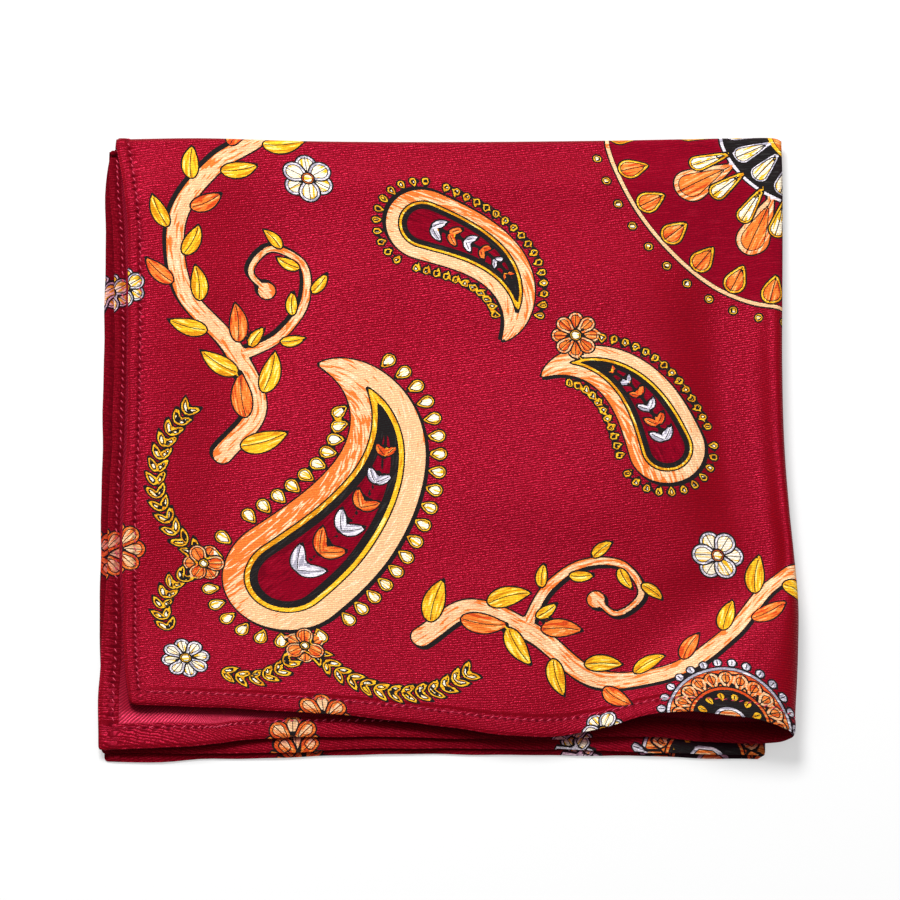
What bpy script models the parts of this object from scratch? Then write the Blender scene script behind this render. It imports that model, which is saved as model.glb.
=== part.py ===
"""A pocket square of twill, folded in four and lying flat.

The cloth was folded to the left first, which makes the roll on the right, and then backwards,
which makes the fold at the back. Its four layers are numbered from the top. Lengths in the
tables and the sizes below are in millimetres, and the meshes are in metres, +Z up.
"""

import math

import bmesh
import bpy
import numpy as np

MM = 0.001

# Cloth, hems and the stack of layers
WALL = 1.0                 # thickness of a layer of cloth
HEM_WALL = 1.2             # thickness of a turned hem
LAYER_PITCH = 1.5          # from one layer's middle to the next one's
SEAM_GAP = 0.3             # between a layer and its hem
LEFT_HEM = 3.9             # width of the hem on the left
FRONT_HEM = 5.8            # width of the hem at the front
LAYER_MIDDLE = {n: HEM_WALL / 2 + LAYER_PITCH * (4 - n) for n in (1, 2, 3, 4)}

# The fold at the back
FOLD_RADIUS = (LAYER_MIDDLE[1] - LAYER_MIDDLE[4]) / 2
FOLD_Z = (LAYER_MIDDLE[1] + LAYER_MIDDLE[4]) / 2
FOLD_Y = 99.2
FOLD_ANGLES = (180, 150, 120, 90, 60, 30)      # degrees from the top of the fold
INNER_FOLD_RADIUS = (LAYER_PITCH + WALL) / 2   # outside of the fold of layers 2 and 3

# Where the hidden layers end at the back, clear of the fold where it is drawn in
HIDDEN_FOLD_Y = 97.8
LOWER_BACK_Y = 97.1
CORNER_X = 93.5            # they stay clear of the corner at the back right
LOWER_ROLL_X = 96.4        # centre line of the roll that joins layers 3 and 4

# Right-hand end of layer 2's own stretch: to its right the top layer's roll turns under
RETURN_X = 78.0
RETURN_STARTS_Y = 74.0     # it narrows from here to the corner at the back
RETURN_AT_CORNER = 1.0

CORE_INSET = 8.0           # how deep the layered edge goes in
CORE_SHRINK = 0.04         # keeps the cores' faces off the layers' own
EDGE_STARTS_Y = -40.0      # in front of this the rows follow the front edge's curve
MEAN_FRONT_Y = -96.0

# The top layer across its width, from the back to the front. The cloth rises to a shoulder,
# falls to a trough, and rises to the crest of the roll. Heights are above the flat cloth.
SECTION_COLUMNS = ("y", "left", "shoulder_x", "shoulder", "trough_x",
                   "crest_from", "crest_x", "crest", "right")
SECTIONS = (
    (99.2, -104.2, 58.0, 0.0, 86.0, 94.0, 97.4, 0.0, 103.6),
    (88.0, -102.5, 58.0, 0.4, 86.5, 94.0, 97.2, 0.4, 103.6),
    (68.0, -100.5, 59.0, 1.2, 87.0, 94.4, 97.0, 1.2, 103.6),
    (48.0, -100.2, 60.0, 2.2, 87.6, 94.8, 96.8, 2.6, 103.4),
    (25.0, -100.2, 62.0, 3.2, 88.2, 95.2, 96.8, 4.4, 103.2),
    (0.0, -100.5, 63.0, 4.1, 89.0, 96.0, 97.2, 5.8, 103.6),
    (-22.0, -101.3, 62.0, 4.4, 89.8, 97.0, 98.0, 6.8, 105.0),
    (-42.0, -101.4, 58.0, 4.1, 89.0, 97.6, 98.8, 7.4, 106.6),
    (-53.0, -101.2, 54.0, 3.6, 80.0, 96.0, 98.4, 7.6, 107.6),
    (-70.0, -101.1, 42.0, 2.8, 62.0, 89.0, 96.0, 7.9, 107.4),
    (-84.0, -100.4, 32.0, 2.0, 46.5, 80.0, 92.5, 8.3, 106.8),
    (-96.0, -99.2, 22.0, 1.0, 34.0, 70.0, 90.0, 8.7, 106.0),
)

# The front edge of the top layer, from left to right
FRONT_COLUMNS = ("x", "y")
TOP_FRONT = (
    (-99.2, -86.6),
    (-78.0, -87.3),
    (-62.0, -88.1),
    (-47.0, -88.9),
    (-31.0, -90.4),
    (-16.0, -92.1),
    (0.0, -94.3),
    (18.0, -96.5),
    (31.0, -96.9),
    (44.0, -95.3),
    (62.0, -92.5),
    (71.0, -92.0),
    (80.0, -92.3),
    (91.0, -93.5),
    (101.0, -95.7),
    (106.0, -97.2),
)

# How far the fold at the back is drawn in, from left to right
BACK_COLUMNS = ("x", "drawn_in")
BACK_EDGE = (
    (-103.4, 0.6),
    (-80.0, 0.2),
    (-45.0, 1.2),
    (15.0, 1.4),
    (50.0, 1.0),
    (85.0, 0.3),
    (103.6, 0.0),
)
BACK_REACH = 40.0          # how far in front of the fold that shows

# Left edges of the lower layers, from the back to the front
LEFT_COLUMNS = ("y", "layer_2", "layer_3", "layer_4")
LEFT_EDGES = (
    (99.2, -106.4, -106.2, -104.6),
    (94.0, -106.6, -107.0, -106.2),
    (88.0, -106.4, -107.4, -106.9),
    (71.0, -105.3, -107.5, -107.1),
    (50.0, -104.6, -107.6, -107.2),
    (30.0, -104.4, -107.7, -107.3),
    (8.0, -104.8, -107.9, -107.5),
    (-20.0, -106.0, -108.3, -107.8),
    (-50.0, -106.7, -108.4, -107.9),
    (-66.0, -108.0, -108.3, -107.8),
    (-82.0, -108.7, -108.0, -107.4),
    (-101.0, -108.7, -107.6, -106.7),
)

# Front edges of the lower layers, from left to right
LOWER_FRONT_COLUMNS = ("x", "layer_2", "layer_3", "layer_4")
LOWER_FRONTS = (
    (-108.0, -100.3, -100.9, -103.2),
    (-92.0, -99.7, -100.9, -103.5),
    (-78.0, -98.7, -100.9, -102.5),
    (-62.0, -97.1, -100.9, -102.1),
    (-46.0, -96.2, -100.5, -101.7),
    (-28.0, -96.1, -99.6, -101.0),
    (0.0, -96.6, -99.4, -100.8),
    (28.0, -96.8, -99.6, -101.1),
    (46.0, -96.2, -100.1, -101.3),
    (64.0, -96.2, -100.9, -101.6),
    (80.0, -97.9, -101.2, -102.2),
    (97.4, -98.2, -101.4, -102.4),
)

# How finely the top layer is divided
ROWS = 26                  # from the back fold to its front hem
FLAT_STEPS = 6             # left edge to where the rise to the shoulder starts
RISE_STEPS = 9             # up to the shoulder
SLOPE_STEPS = 6            # from the shoulder to the trough, and on to the crest
CREST_STEPS = 3
ROLL_STEPS = 9
RETURN_STEPS = 3
HEM_STEPS = 2
SHOULDER_WIDTH = 96.0      # from the flat cloth up to the shoulder
BAND_STEPS = 16            # along a lower layer's hem
ARC_STEPS = 4              # round a quarter circle

CRIMSON = (0.40, 0.012, 0.030, 1.0)
CRIMSON_DULL = (0.36, 0.045, 0.075, 1.0)


def column(rows, names, name):
    """One named column of a table, as an array."""
    return np.array([row[names.index(name)] for row in rows], float)


def smooth(at, rows, names, across, name):
    """A table's column read at a place, on a smooth curve through its rows."""
    xs = column(rows, names, across)
    ys = column(rows, names, name)
    if xs[0] > xs[-1]:
        xs = xs[::-1]
        ys = ys[::-1]
    slopes = np.gradient(ys, xs)
    at = np.clip(at, xs[0], xs[-1])
    i = np.clip(np.searchsorted(xs, at) - 1, 0, len(xs) - 2)
    width = xs[i + 1] - xs[i]
    t = (at - xs[i]) / width
    rise = ys[i + 1] - ys[i]
    return (ys[i] + rise * t * t * (3 - 2 * t)
            + width * (slopes[i] * t * (1 - t) ** 2 - slopes[i + 1] * t * t * (1 - t)))


def front_of_top(x):
    return smooth(x, TOP_FRONT, FRONT_COLUMNS, "x", "y")


def front_of(layer, x):
    return smooth(x, LOWER_FRONTS, LOWER_FRONT_COLUMNS, "x", f"layer_{layer}")


def drawn_in(x, y):
    """How far a place near the back fold is drawn in, as the fold's own curve."""
    t = np.clip((y - FOLD_Y + BACK_REACH) / BACK_REACH, 0, 1)
    return smooth(x, BACK_EDGE, BACK_COLUMNS, "x", "drawn_in") * t * t * (3 - 2 * t)


def left_of(layer, y):
    return smooth(y, LEFT_EDGES, LEFT_COLUMNS, "y", f"layer_{layer}")


def slope(start, end, steps):
    """Points on a soft S from one (x, z) to another, without the first."""
    for k in range(1, steps + 1):
        t = k / steps
        s = t * t * (3 - 2 * t)
        yield start[0] + (end[0] - start[0]) * t, start[1] + (end[1] - start[1]) * s


def return_length(y, crest_x):
    """How far the roll runs back to the left at layer 2's level."""
    s = np.clip((y - RETURN_STARTS_Y) / (FOLD_Y - RETURN_STARTS_Y), 0, 1)
    return (crest_x - RETURN_X) * (1 - s) + RETURN_AT_CORNER * s


def section(y):
    """The top layer's middle line at y: from its left edge, over the roll, to its tucked end."""
    at = {name: float(smooth(y, SECTIONS, SECTION_COLUMNS, "y", name))
          for name in SECTION_COLUMNS}
    flat = LAYER_MIDDLE[1]
    tucked = LAYER_MIDDLE[2]
    top = flat + at["crest"]
    hem_end = at["left"] + LEFT_HEM
    shoulder_from = (at["shoulder_x"] - SHOULDER_WIDTH, flat)
    path = [(at["left"] + LEFT_HEM * k / HEM_STEPS, flat) for k in range(HEM_STEPS + 1)]
    path += [(hem_end + SEAM_GAP, flat)]
    path += list(slope(path[-1], shoulder_from, FLAT_STEPS))
    path += list(slope(shoulder_from, (at["shoulder_x"], flat + at["shoulder"]), RISE_STEPS))
    path += list(slope(path[-1], (at["trough_x"], flat), SLOPE_STEPS))
    path += list(slope(path[-1], (at["crest_from"], top), SLOPE_STEPS))
    path += list(slope(path[-1], (at["crest_x"], top), CREST_STEPS))
    reach = at["right"] - WALL / 2 - at["crest_x"]
    for k in range(1, ROLL_STEPS + 1):
        angle = math.pi * k / ROLL_STEPS
        path.append((at["crest_x"] + reach * math.sin(angle),
                     (top + tucked) / 2 + (top - tucked) / 2 * math.cos(angle)))
    back = return_length(y, at["crest_x"])
    path += list(slope(path[-1], (at["crest_x"] - back, tucked), RETURN_STEPS))
    return path


def edge_row(y):
    """A row of the top layer: y is true in the middle and bends with the front edge."""
    share = max(0.0, (EDGE_STARTS_Y - y) / (EDGE_STARTS_Y - MEAN_FRONT_Y))
    return [(x, y + share * (front_of_top(x) - MEAN_FRONT_Y) - drawn_in(x, y), z)
            for x, z in section(y)]


def fold_row(angle):
    """A row of the top layer where it turns down round the fold at the back."""
    turn = math.radians(angle)
    row = []
    for x, z in section(FOLD_Y):
        radius = z - FOLD_Z
        centre_y = FOLD_Y - drawn_in(x, FOLD_Y)
        row.append((x, centre_y + radius * math.sin(turn), FOLD_Z + radius * math.cos(turn)))
    return row


def top_grid():
    """The top layer's middle surface as rows of points, with its hems, and the hem's row."""
    hem_y = MEAN_FRONT_Y + FRONT_HEM
    rows = [fold_row(angle) for angle in FOLD_ANGLES]
    rows += [edge_row(y) for y in np.linspace(FOLD_Y, hem_y + SEAM_GAP, ROWS)]
    panel_rows = len(rows)
    rows += [edge_row(y) for y in np.linspace(hem_y, MEAN_FRONT_Y, HEM_STEPS + 1)]
    return np.array(rows), panel_rows


def normals_of(grid):
    """Unit normals of a grid of points, up on the flat cloth."""
    along = np.gradient(grid, axis=0)
    across = np.gradient(grid, axis=1)
    normal = np.cross(across, -along)
    return normal / np.linalg.norm(normal, axis=2, keepdims=True)


def wall(name, grid, normals, thickness, colour):
    """A closed wall on both sides of a grid of points."""
    rows, columns = grid.shape[:2]
    mesh = bmesh.new()
    skins = []
    for side in (0.5, -0.5):
        points = (grid + normals * thickness * side) * MM
        skins.append([[mesh.verts.new(p) for p in row] for row in points])
    upper, lower = skins
    for r in range(rows - 1):
        for c in range(columns - 1):
            mesh.faces.new((upper[r][c], upper[r + 1][c], upper[r + 1][c + 1], upper[r][c + 1]))
            mesh.faces.new((lower[r][c], lower[r][c + 1], lower[r + 1][c + 1], lower[r + 1][c]))
    border = [(0, c) for c in range(columns)]
    border += [(r, columns - 1) for r in range(1, rows)]
    border += [(rows - 1, c) for c in range(columns - 2, -1, -1)]
    border += [(r, 0) for r in range(rows - 2, 0, -1)]
    for (r, c), (r2, c2) in zip(border, border[1:] + border[:1]):
        mesh.faces.new((upper[r][c], upper[r2][c2], lower[r2][c2], lower[r][c]))
    return finish_mesh(name, mesh, colour)


def finish_mesh(name, mesh, colour):
    """Makes a bmesh an object with its own material, its faces pointing out."""
    bmesh.ops.recalc_face_normals(mesh, faces=mesh.faces)
    data = bpy.data.meshes.new(name)
    mesh.to_mesh(data)
    mesh.free()
    made = bpy.data.objects.new(name, data)
    bpy.context.scene.collection.objects.link(made)
    material = bpy.data.materials.new(name)
    material.use_nodes = True
    shader = material.node_tree.nodes["Principled BSDF"]
    shader.inputs["Base Color"].default_value = colour
    shader.inputs["Roughness"].default_value = 0.55
    shader.inputs["Metallic"].default_value = 0.0
    data.materials.append(material)
    data.shade_smooth()
    data.set_sharp_from_angle(angle=math.radians(40))
    return made


def make_top_layer():
    grid, panel_rows = top_grid()
    normals = normals_of(grid)
    inside = HEM_STEPS + 1
    wall("top_layer", grid[:panel_rows, inside:], normals[:panel_rows, inside:], WALL, CRIMSON)
    wall("hem_1_left", grid[:panel_rows, :inside], normals[:panel_rows, :inside],
         HEM_WALL, CRIMSON)
    hem = [c for c in range(grid.shape[1]) if c != inside]
    wall("hem_1_front", grid[panel_rows:, hem], normals[panel_rows:, hem], HEM_WALL, CRIMSON)


def plate_outline(layer, right, back):
    """The outline of a lower layer inside its hems, and its right and back edges."""
    corner_y = front_of(layer, -100.0) + FRONT_HEM + SEAM_GAP
    left = [(left_of(layer, y) + LEFT_HEM + SEAM_GAP, y)
            for y in np.linspace(back, corner_y, BAND_STEPS)]
    start_x = left[-1][0]
    end_x = right[0][0]
    xs = np.linspace(start_x, end_x, BAND_STEPS)[1:]
    front = [(x, front_of(layer, x) + FRONT_HEM + SEAM_GAP) for x in xs]
    return left + front + list(right[1:])


def prism(name, outline, bottom, top):
    """A flat plate of an outline, its corners in order, between two heights."""
    mesh = bmesh.new()
    loops = [[mesh.verts.new((x * MM, y * MM, z * MM)) for x, y in outline]
             for z in (bottom, top)]
    for k in range(len(outline)):
        after = (k + 1) % len(outline)
        mesh.faces.new((loops[0][k], loops[0][after], loops[1][after], loops[1][k]))
    mesh.faces.new(loops[0][::-1])
    mesh.faces.new(loops[1])
    return finish_mesh(name, mesh, CRIMSON_DULL)


def swept(name, profile, starts, ends):
    """A closed bar: a profile's points, each drawn from one place to another."""
    mesh = bmesh.new()
    loops = [[mesh.verts.new([v * MM for v in place(a, b)]) for a, b in profile]
             for place in (starts, ends)]
    for k in range(len(profile)):
        after = (k + 1) % len(profile)
        mesh.faces.new((loops[0][k], loops[0][after], loops[1][after], loops[1][k]))
    mesh.faces.new(loops[0][::-1])
    mesh.faces.new(loops[1])
    return finish_mesh(name, mesh, CRIMSON_DULL)


def half_round(flat_end, round_centre, middle, radius):
    """A bar's profile: square at one end and half round at the other, as (along, z)."""
    points = [(flat_end, middle - radius), (round_centre, middle - radius)]
    for k in range(1, 2 * ARC_STEPS):
        angle = math.pi * (k / (2 * ARC_STEPS) - 0.5)
        points.append((round_centre + radius * math.cos(angle),
                       middle + radius * math.sin(angle)))
    points += [(round_centre, middle + radius), (flat_end, middle + radius)]
    return points


def make_under_layers():
    """Layers 2, 3 and 4 as one solid: three plates joined by two cores set in from the edges."""
    half = WALL / 2
    second_right = [(RETURN_X - SEAM_GAP, 0), (RETURN_X - SEAM_GAP, RETURN_STARTS_Y),
                    (CORNER_X, LOWER_BACK_Y - SEAM_GAP), (CORNER_X, HIDDEN_FOLD_Y)]
    lower_right = [(LOWER_ROLL_X, 0), (LOWER_ROLL_X, LOWER_BACK_Y)]
    third_right = lower_right + [(CORNER_X, LOWER_BACK_Y), (CORNER_X, HIDDEN_FOLD_Y)]
    rights = {2: (second_right, HIDDEN_FOLD_Y), 3: (third_right, HIDDEN_FOLD_Y),
              4: (lower_right, LOWER_BACK_Y)}
    plates = []
    for layer, (right, back) in rights.items():
        middle = LAYER_MIDDLE[layer] if layer < 4 else half
        outline = plate_outline(layer, right, back)
        plates.append(prism("under_layers" if layer == 2 else f"plate_{layer}",
                            outline, middle - half, middle + half))
    between = (LAYER_MIDDLE[2] + LAYER_MIDDLE[3]) / 2
    left_end = left_of(3, 0.0) + LEFT_HEM + CORE_INSET
    front_end = front_of(3, 0.0) + FRONT_HEM + CORE_INSET
    upper = half_round(front_end, HIDDEN_FOLD_Y, between, INNER_FOLD_RADIUS - CORE_SHRINK)
    core_right = RETURN_X - CORE_INSET
    plates.append(swept("upper_core", upper,
                        lambda a, z: (left_end, a, z), lambda a, z: (core_right, a, z)))
    lower_half = (LAYER_MIDDLE[3] + half) / 2
    lower = half_round(left_end, LOWER_ROLL_X, lower_half, lower_half - CORE_SHRINK)
    core_back = LOWER_BACK_Y - CORE_INSET
    plates.append(swept("lower_core", lower,
                        lambda a, z: (a, core_back, z), lambda a, z: (a, front_end, z)))
    join(plates)


def join(bodies):
    """Unites the first object with the others and removes them."""
    whole = bodies[0]
    for body in bodies[1:]:
        cut = whole.modifiers.new("join", "BOOLEAN")
        cut.operation = "UNION"
        cut.solver = "EXACT"
        cut.object = body
        evaluated = whole.evaluated_get(bpy.context.evaluated_depsgraph_get())
        joined = bpy.data.meshes.new_from_object(evaluated)
        whole.modifiers.clear()
        whole.data = joined
        bpy.data.objects.remove(body)


def band(name, edge, inward, width, middle, colour):
    """A hem: a flat band with round edges along an edge line, lying inside it."""
    half = HEM_WALL / 2
    profile = [(half, -half), (width - half, -half), (width, 0.0),
               (width - half, half), (half, half), (0.0, 0.0)]
    mesh = bmesh.new()
    rings = []
    for x, y in edge:
        rings.append([mesh.verts.new(((x + inward[0] * a) * MM, (y + inward[1] * a) * MM,
                                      (middle + z) * MM)) for a, z in profile])
    for ring, following in zip(rings, rings[1:]):
        for k in range(len(profile)):
            after = (k + 1) % len(profile)
            mesh.faces.new((ring[k], ring[after], following[after], following[k]))
    mesh.faces.new(rings[0])
    mesh.faces.new(rings[-1][::-1])
    return finish_mesh(name, mesh, colour)


def make_lower_hems():
    """The hems of layers 2, 3 and 4. The front hem takes the corner at the left."""
    ends = {2: (HIDDEN_FOLD_Y, RETURN_X - SEAM_GAP), 3: (HIDDEN_FOLD_Y, LOWER_ROLL_X),
            4: (LOWER_BACK_Y, LOWER_ROLL_X)}
    for layer, (back, right) in ends.items():
        middle = LAYER_MIDDLE[layer]
        colour = CRIMSON if layer == 2 else CRIMSON_DULL
        corner_x = left_of(layer, -100.0)
        xs = np.linspace(corner_x, right, BAND_STEPS)
        front = [(x, front_of(layer, x)) for x in xs]
        band(f"hem_{layer}_front", front, (0, 1), FRONT_HEM, middle, colour)
        left_end = front[0][1] + FRONT_HEM + SEAM_GAP
        left = [(left_of(layer, y), y) for y in np.linspace(back, left_end, BAND_STEPS)]
        band(f"hem_{layer}_left", left, (1, 0), LEFT_HEM, middle, colour)


def centre_on_floor():
    """Puts the origin under the middle of the whole and the underside at Z 0."""
    bodies = list(bpy.context.scene.objects)
    points = np.array([v.co for body in bodies for v in body.data.vertices])
    low = points.min(axis=0)
    high = points.max(axis=0)
    shift = (-(low[0] + high[0]) / 2, -(low[1] + high[1]) / 2, -low[2])
    for body in bodies:
        for vertex in body.data.vertices:
            vertex.co.x += shift[0]
            vertex.co.y += shift[1]
            vertex.co.z += shift[2]


for old in list(bpy.data.objects):
    bpy.data.objects.remove(old)
make_top_layer()
make_under_layers()
make_lower_hems()
centre_on_floor()
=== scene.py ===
"""The looks of a printed twill pocket square, folded in four and lying flat.

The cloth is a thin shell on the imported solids' form. Its four layers are numbered from the top.
Sizes and tables are in millimetres, and the meshes are in metres in the frame's axes.
"""

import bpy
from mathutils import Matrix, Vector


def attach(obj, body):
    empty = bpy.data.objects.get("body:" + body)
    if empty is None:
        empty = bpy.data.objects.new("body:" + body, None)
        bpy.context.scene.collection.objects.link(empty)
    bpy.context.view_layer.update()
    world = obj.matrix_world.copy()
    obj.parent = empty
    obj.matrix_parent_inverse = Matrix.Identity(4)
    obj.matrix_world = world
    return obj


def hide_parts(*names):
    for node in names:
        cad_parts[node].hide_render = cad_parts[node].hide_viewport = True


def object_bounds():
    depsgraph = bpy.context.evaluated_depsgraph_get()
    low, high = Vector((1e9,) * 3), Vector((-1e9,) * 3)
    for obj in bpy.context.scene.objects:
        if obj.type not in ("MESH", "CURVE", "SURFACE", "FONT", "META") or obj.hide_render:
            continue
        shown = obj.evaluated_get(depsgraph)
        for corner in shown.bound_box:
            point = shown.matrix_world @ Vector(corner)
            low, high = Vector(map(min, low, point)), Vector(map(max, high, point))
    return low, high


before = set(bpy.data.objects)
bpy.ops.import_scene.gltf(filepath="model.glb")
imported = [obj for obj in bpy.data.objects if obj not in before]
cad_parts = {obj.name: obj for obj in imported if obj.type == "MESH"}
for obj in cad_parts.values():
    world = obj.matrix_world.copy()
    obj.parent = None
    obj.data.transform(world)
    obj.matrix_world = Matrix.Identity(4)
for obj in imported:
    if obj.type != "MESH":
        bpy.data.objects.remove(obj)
cad_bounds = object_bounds()

import copy
import math

import bpy
import numpy as np
from mathutils import Vector

MM = 0.001


def curve(at, xs, ys):
    """Reads values ys, which lie at rising places xs, on a smooth curve through them."""
    slopes = np.gradient(ys, xs, axis=0)
    at = np.clip(at, xs[0], xs[-1])
    i = np.clip(np.searchsorted(xs, at) - 1, 0, len(xs) - 2)
    width = xs[i + 1] - xs[i]
    t = (at - xs[i]) / width
    if ys.ndim > 1:
        width = width[:, None]
        t = t[:, None]
    return (ys[i] + (ys[i + 1] - ys[i]) * t * t * (3 - 2 * t)
            + width * (slopes[i] * t * (1 - t) ** 2 - slopes[i + 1] * t * t * (1 - t)))


class Table:
    """Rows of numbers under named columns, read on smooth curves along the first column."""

    def __init__(self, names, rows):
        values = np.array(rows)
        if values[0, 0] > values[-1, 0]:
            values = values[::-1]
        self.columns = dict(zip(names.split(), values.T))
        self.places = values[:, 0]

    def at(self, place, name):
        return curve(place, self.places, self.columns[name])


# The stack of layers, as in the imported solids: heights of their middles
LAYER_Z = {1: 5.1, 2: 3.6, 3: 2.1, 4: 0.6}
FOLD_RADIUS = 2.25
FOLD_Z = 2.85
FOLD_Y = 99.2
MEAN_FRONT_Y = -96.0
EDGE_STARTS_Y = -40.0      # in front of this the rows follow the front edge's curve
FRONTMOST_Y = -103.5       # of the lowest layer, in the tables' own coordinates
LEFTMOST_X = -108.7
RETURN_X = 78.0            # the top piece ends here, under the roll
LOWER_ROLL_X = 97.4        # right end of the roll that joins layers 3 and 4

# Cloth and hems
PLY = 0.17                 # half the cloth's thickness
OUTER_STITCH = 3.8         # from the side edge of layers 1 and 4 to its stitches
INNER_STITCH = 2.7         # the same for layers 2 and 3
FRONT_STITCH = 5.2         # from the front edges to their stitches
PAST_STITCH = 1.2          # a hem's own inner edge lies this far past its stitches
CORNER_ROUND = 2.4         # of layer 1's front corner
SHARP_ROUND = 1.2          # of the lower layers' front corners
EDGE_ROUND = 0.65          # how far in a hem's folded edge is rounded
HOLLOW_X = 58.0            # right of this layer 2's front seam is hidden in the hollow
STITCH_PITCH = 2.5
STITCH_LENGTH = 1.75

SECTIONS = Table("y left shoulder_x shoulder trough_x crest_from crest_x crest right", (
    (99.2, -104.2, 46, 0, 86, 94, 97.4, 0, 103.6),
    (88, -102.5, 46, 0.4, 86.5, 94, 97.2, 0.4, 103.6),
    (68, -100.5, 46, 2, 85.5, 94.4, 97, 1.2, 103.6),
    (48, -100.2, 48, 3.9, 84.5, 99.4, 100, 1.9, 103.4),
    (25, -100.2, 54, 4.4, 84.5, 100, 100.6, 2.8, 103.2),
    (0, -100.5, 56, 4.9, 85.5, 101, 101.6, 3, 103.6),
    (-22, -101.3, 56, 4.6, 88.5, 102.8, 103.4, 3.4, 105),
    (-42, -101.4, 57, 2.5, 91, 104.2, 105, 4, 106.8),
    (-53, -101.2, 41, 1.8, 80, 102.4, 104, 5.6, 107.6),
    (-70, -101.1, 28, 1, 61, 96, 99.6, 7.3, 107.4),
    (-84, -100.4, 14, 0.9, 45, 90, 94.5, 8.2, 106.8),
    (-96, -99.2, 4, 0.6, 34, 85, 91.5, 8.7, 106),
))
SHOULDER_WIDTH = 96.0

TOP_FRONT = Table("x y", (
    (-99.2, -86.6), (-78, -87.3), (-62, -88.1), (-47, -88.9), (-31, -90.4), (-16, -92.1),
    (0, -94.3), (18, -96.5), (31, -96.9), (44, -95), (62, -91.4), (71, -91.2),
    (80, -92.1), (91, -93.5), (101, -95.7), (106, -97.2),
))

# How far the back fold is drawn in along the cloth
BACK_EDGE = Table("x drawn_in", (
    (-103.4, 0.6), (-80, 0.2), (-45, 1.2), (15, 1.4), (50, 1), (85, 0.3), (103.6, 0),
))
BACK_REACH = 40.0          # how far in front of the fold that shows

LEFT_EDGES = Table("y layer_2 layer_3 layer_4", (
    (99.2, -106.4, -106.2, -104.6),
    (94, -106.6, -107, -106.2),
    (88, -106.4, -107.4, -106.9),
    (71, -105.3, -107.5, -107.1),
    (50, -104.6, -107.6, -107.2),
    (30, -104.4, -107.7, -107.3),
    (8, -104.8, -107.9, -107.5),
    (-20, -106, -108.3, -107.8),
    (-50, -106.7, -108.4, -107.9),
    (-66, -108, -108.3, -107.8),
    (-82, -108.7, -108, -107.4),
    (-101, -108.7, -107.6, -106.7),
))

LOWER_FRONTS = Table("x layer_2 layer_3 layer_4", (
    (-108, -100.3, -100.9, -103.2),
    (-92, -99.7, -100.9, -103.5),
    (-78, -98.7, -100.9, -102.5),
    (-62, -97.1, -100.9, -102.1),
    (-46, -96.2, -100.5, -101.7),
    (-28, -96.1, -99.6, -101),
    (0, -96.6, -99.4, -100.8),
    (28, -96.8, -99.6, -101.1),
    (46, -96.2, -100.1, -101.3),
    (64, -96.2, -100.9, -101.6),
    (80, -97.9, -101.2, -102.2),
    (97.4, -98.2, -101.4, -102.4),
))

# Soft creases of the top layer. The columns are x1, y1, x2, y2, its height
# (negative for a trough), its width and how far its ends fade out.
CREASES = (
    (-40, 88.5, 76, 87, 1, 13, 26),
    (-95, 88, 95, 88.5, 0.5, 11, 14),
    (0, 36, 72, 32, -1.5, 29, 40),
    (-70, 54, 40, 50, 0.35, 12, 25),
    (-52, 84, -74, -46, -1.5, 20, 30),
    (-30, -20, 30, -66, 0.5, 14, 25),
    (10, 40, 46, 0, 0.35, 10, 25),
    (-50, 6, -20, -40, 0.35, 9, 20),
    (-96, -84, -60, -84.5, 0.5, 5, 8),
    (-45, -86, 0, -90, 0.45, 5, 10),
)

GRID_STEP = 1.06           # spacing of the top layer's mesh
SECOND_STEP = 1.5
LOWER_STEP = 4.0
HEM_OFFSETS = (0.0, 0.07, 0.2, 0.4, 0.7, 1.1, 1.6)     # from the edge inwards
STITCH_OFFSETS = (-1.0, -0.5, 0.0, 0.5, 1.05, 1.3, 1.9)  # about a hem's line of stitches
ROLL_SHARE = 0.09          # of the top piece's width, under the roll, on a coarse mesh
FOLD_ANGLES = np.arange(180.0, -6.0, -12.0)    # of the rows round the back fold
DROOP_REACH = 6.5
DROOP = {2: 0.75, 3: 0.7, 4: 0.15}
MOUTH = 0.9
MOUTH_REACH = 9.0
INNER_FOLD_IN = 2.6        # the fold of layers 2 and 3 lies this far inside the outer one
EDGE_WANDER = 0.22
EDGE_REACH = 5.0
EDGE_LIFT = 2.7            # how far layer 1's left edge stands up, and how far in that shows
EDGE_LIFT_X = -102.0
EDGE_LIFT_WIDTH = 28.0
VALLEY = 0.5               # how far layer 2 dips under layer 1's left edge
VALLEY_WIDTH = 2.3
LEFT_WIDER = 0.72          # how much wider layer 2's hems are at their front left corner
FRONT_WIDER = 0.24
TUCK_SIDE = 4.2            # how far out of a layer's edge the cloth under it gets painted shade and a rougher sheen
TUCK_FRONT = 1.5
TUCK_LEAST = 0.05


def front_of_top(x):
    return TOP_FRONT.at(x, "y")


def front_of(layer, x):
    return LOWER_FRONTS.at(x, f"layer_{layer}")


def left_of(layer, y):
    return LEFT_EDGES.at(y, f"layer_{layer}")


def drawn_in(x, y):
    """How far a place near the back fold is drawn in, as the fold's own curve."""
    return BACK_EDGE.at(x, "drawn_in") * ease((y - FOLD_Y + BACK_REACH) / BACK_REACH)


def ease(t):
    t = np.clip(t, 0.0, 1.0)
    return t * t * (3 - 2 * t)


def late(t, by=1.7):
    """A curve from 0 to 1 that is steepest past its middle."""
    return ease(t ** by)


def steady(t, rounding=0.28):
    """A curve from 0 to 1 with an even slope between its rounded ends."""
    steep = 1 / (1 - rounding)
    start = steep * t ** 2 / (2 * rounding)
    end = 1 - steep * (1 - t) ** 2 / (2 * rounding)
    return np.where(t < rounding, start, np.where(t > 1 - rounding, end,
                                                  steep * (t - rounding / 2)))


def slope(start, end, curve=ease, steps=24):
    t = np.arange(1, steps + 1) / steps
    return np.stack([start[0] + (end[0] - start[0]) * t,
                     start[1] + (end[1] - start[1]) * curve(t)], axis=1)


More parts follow.
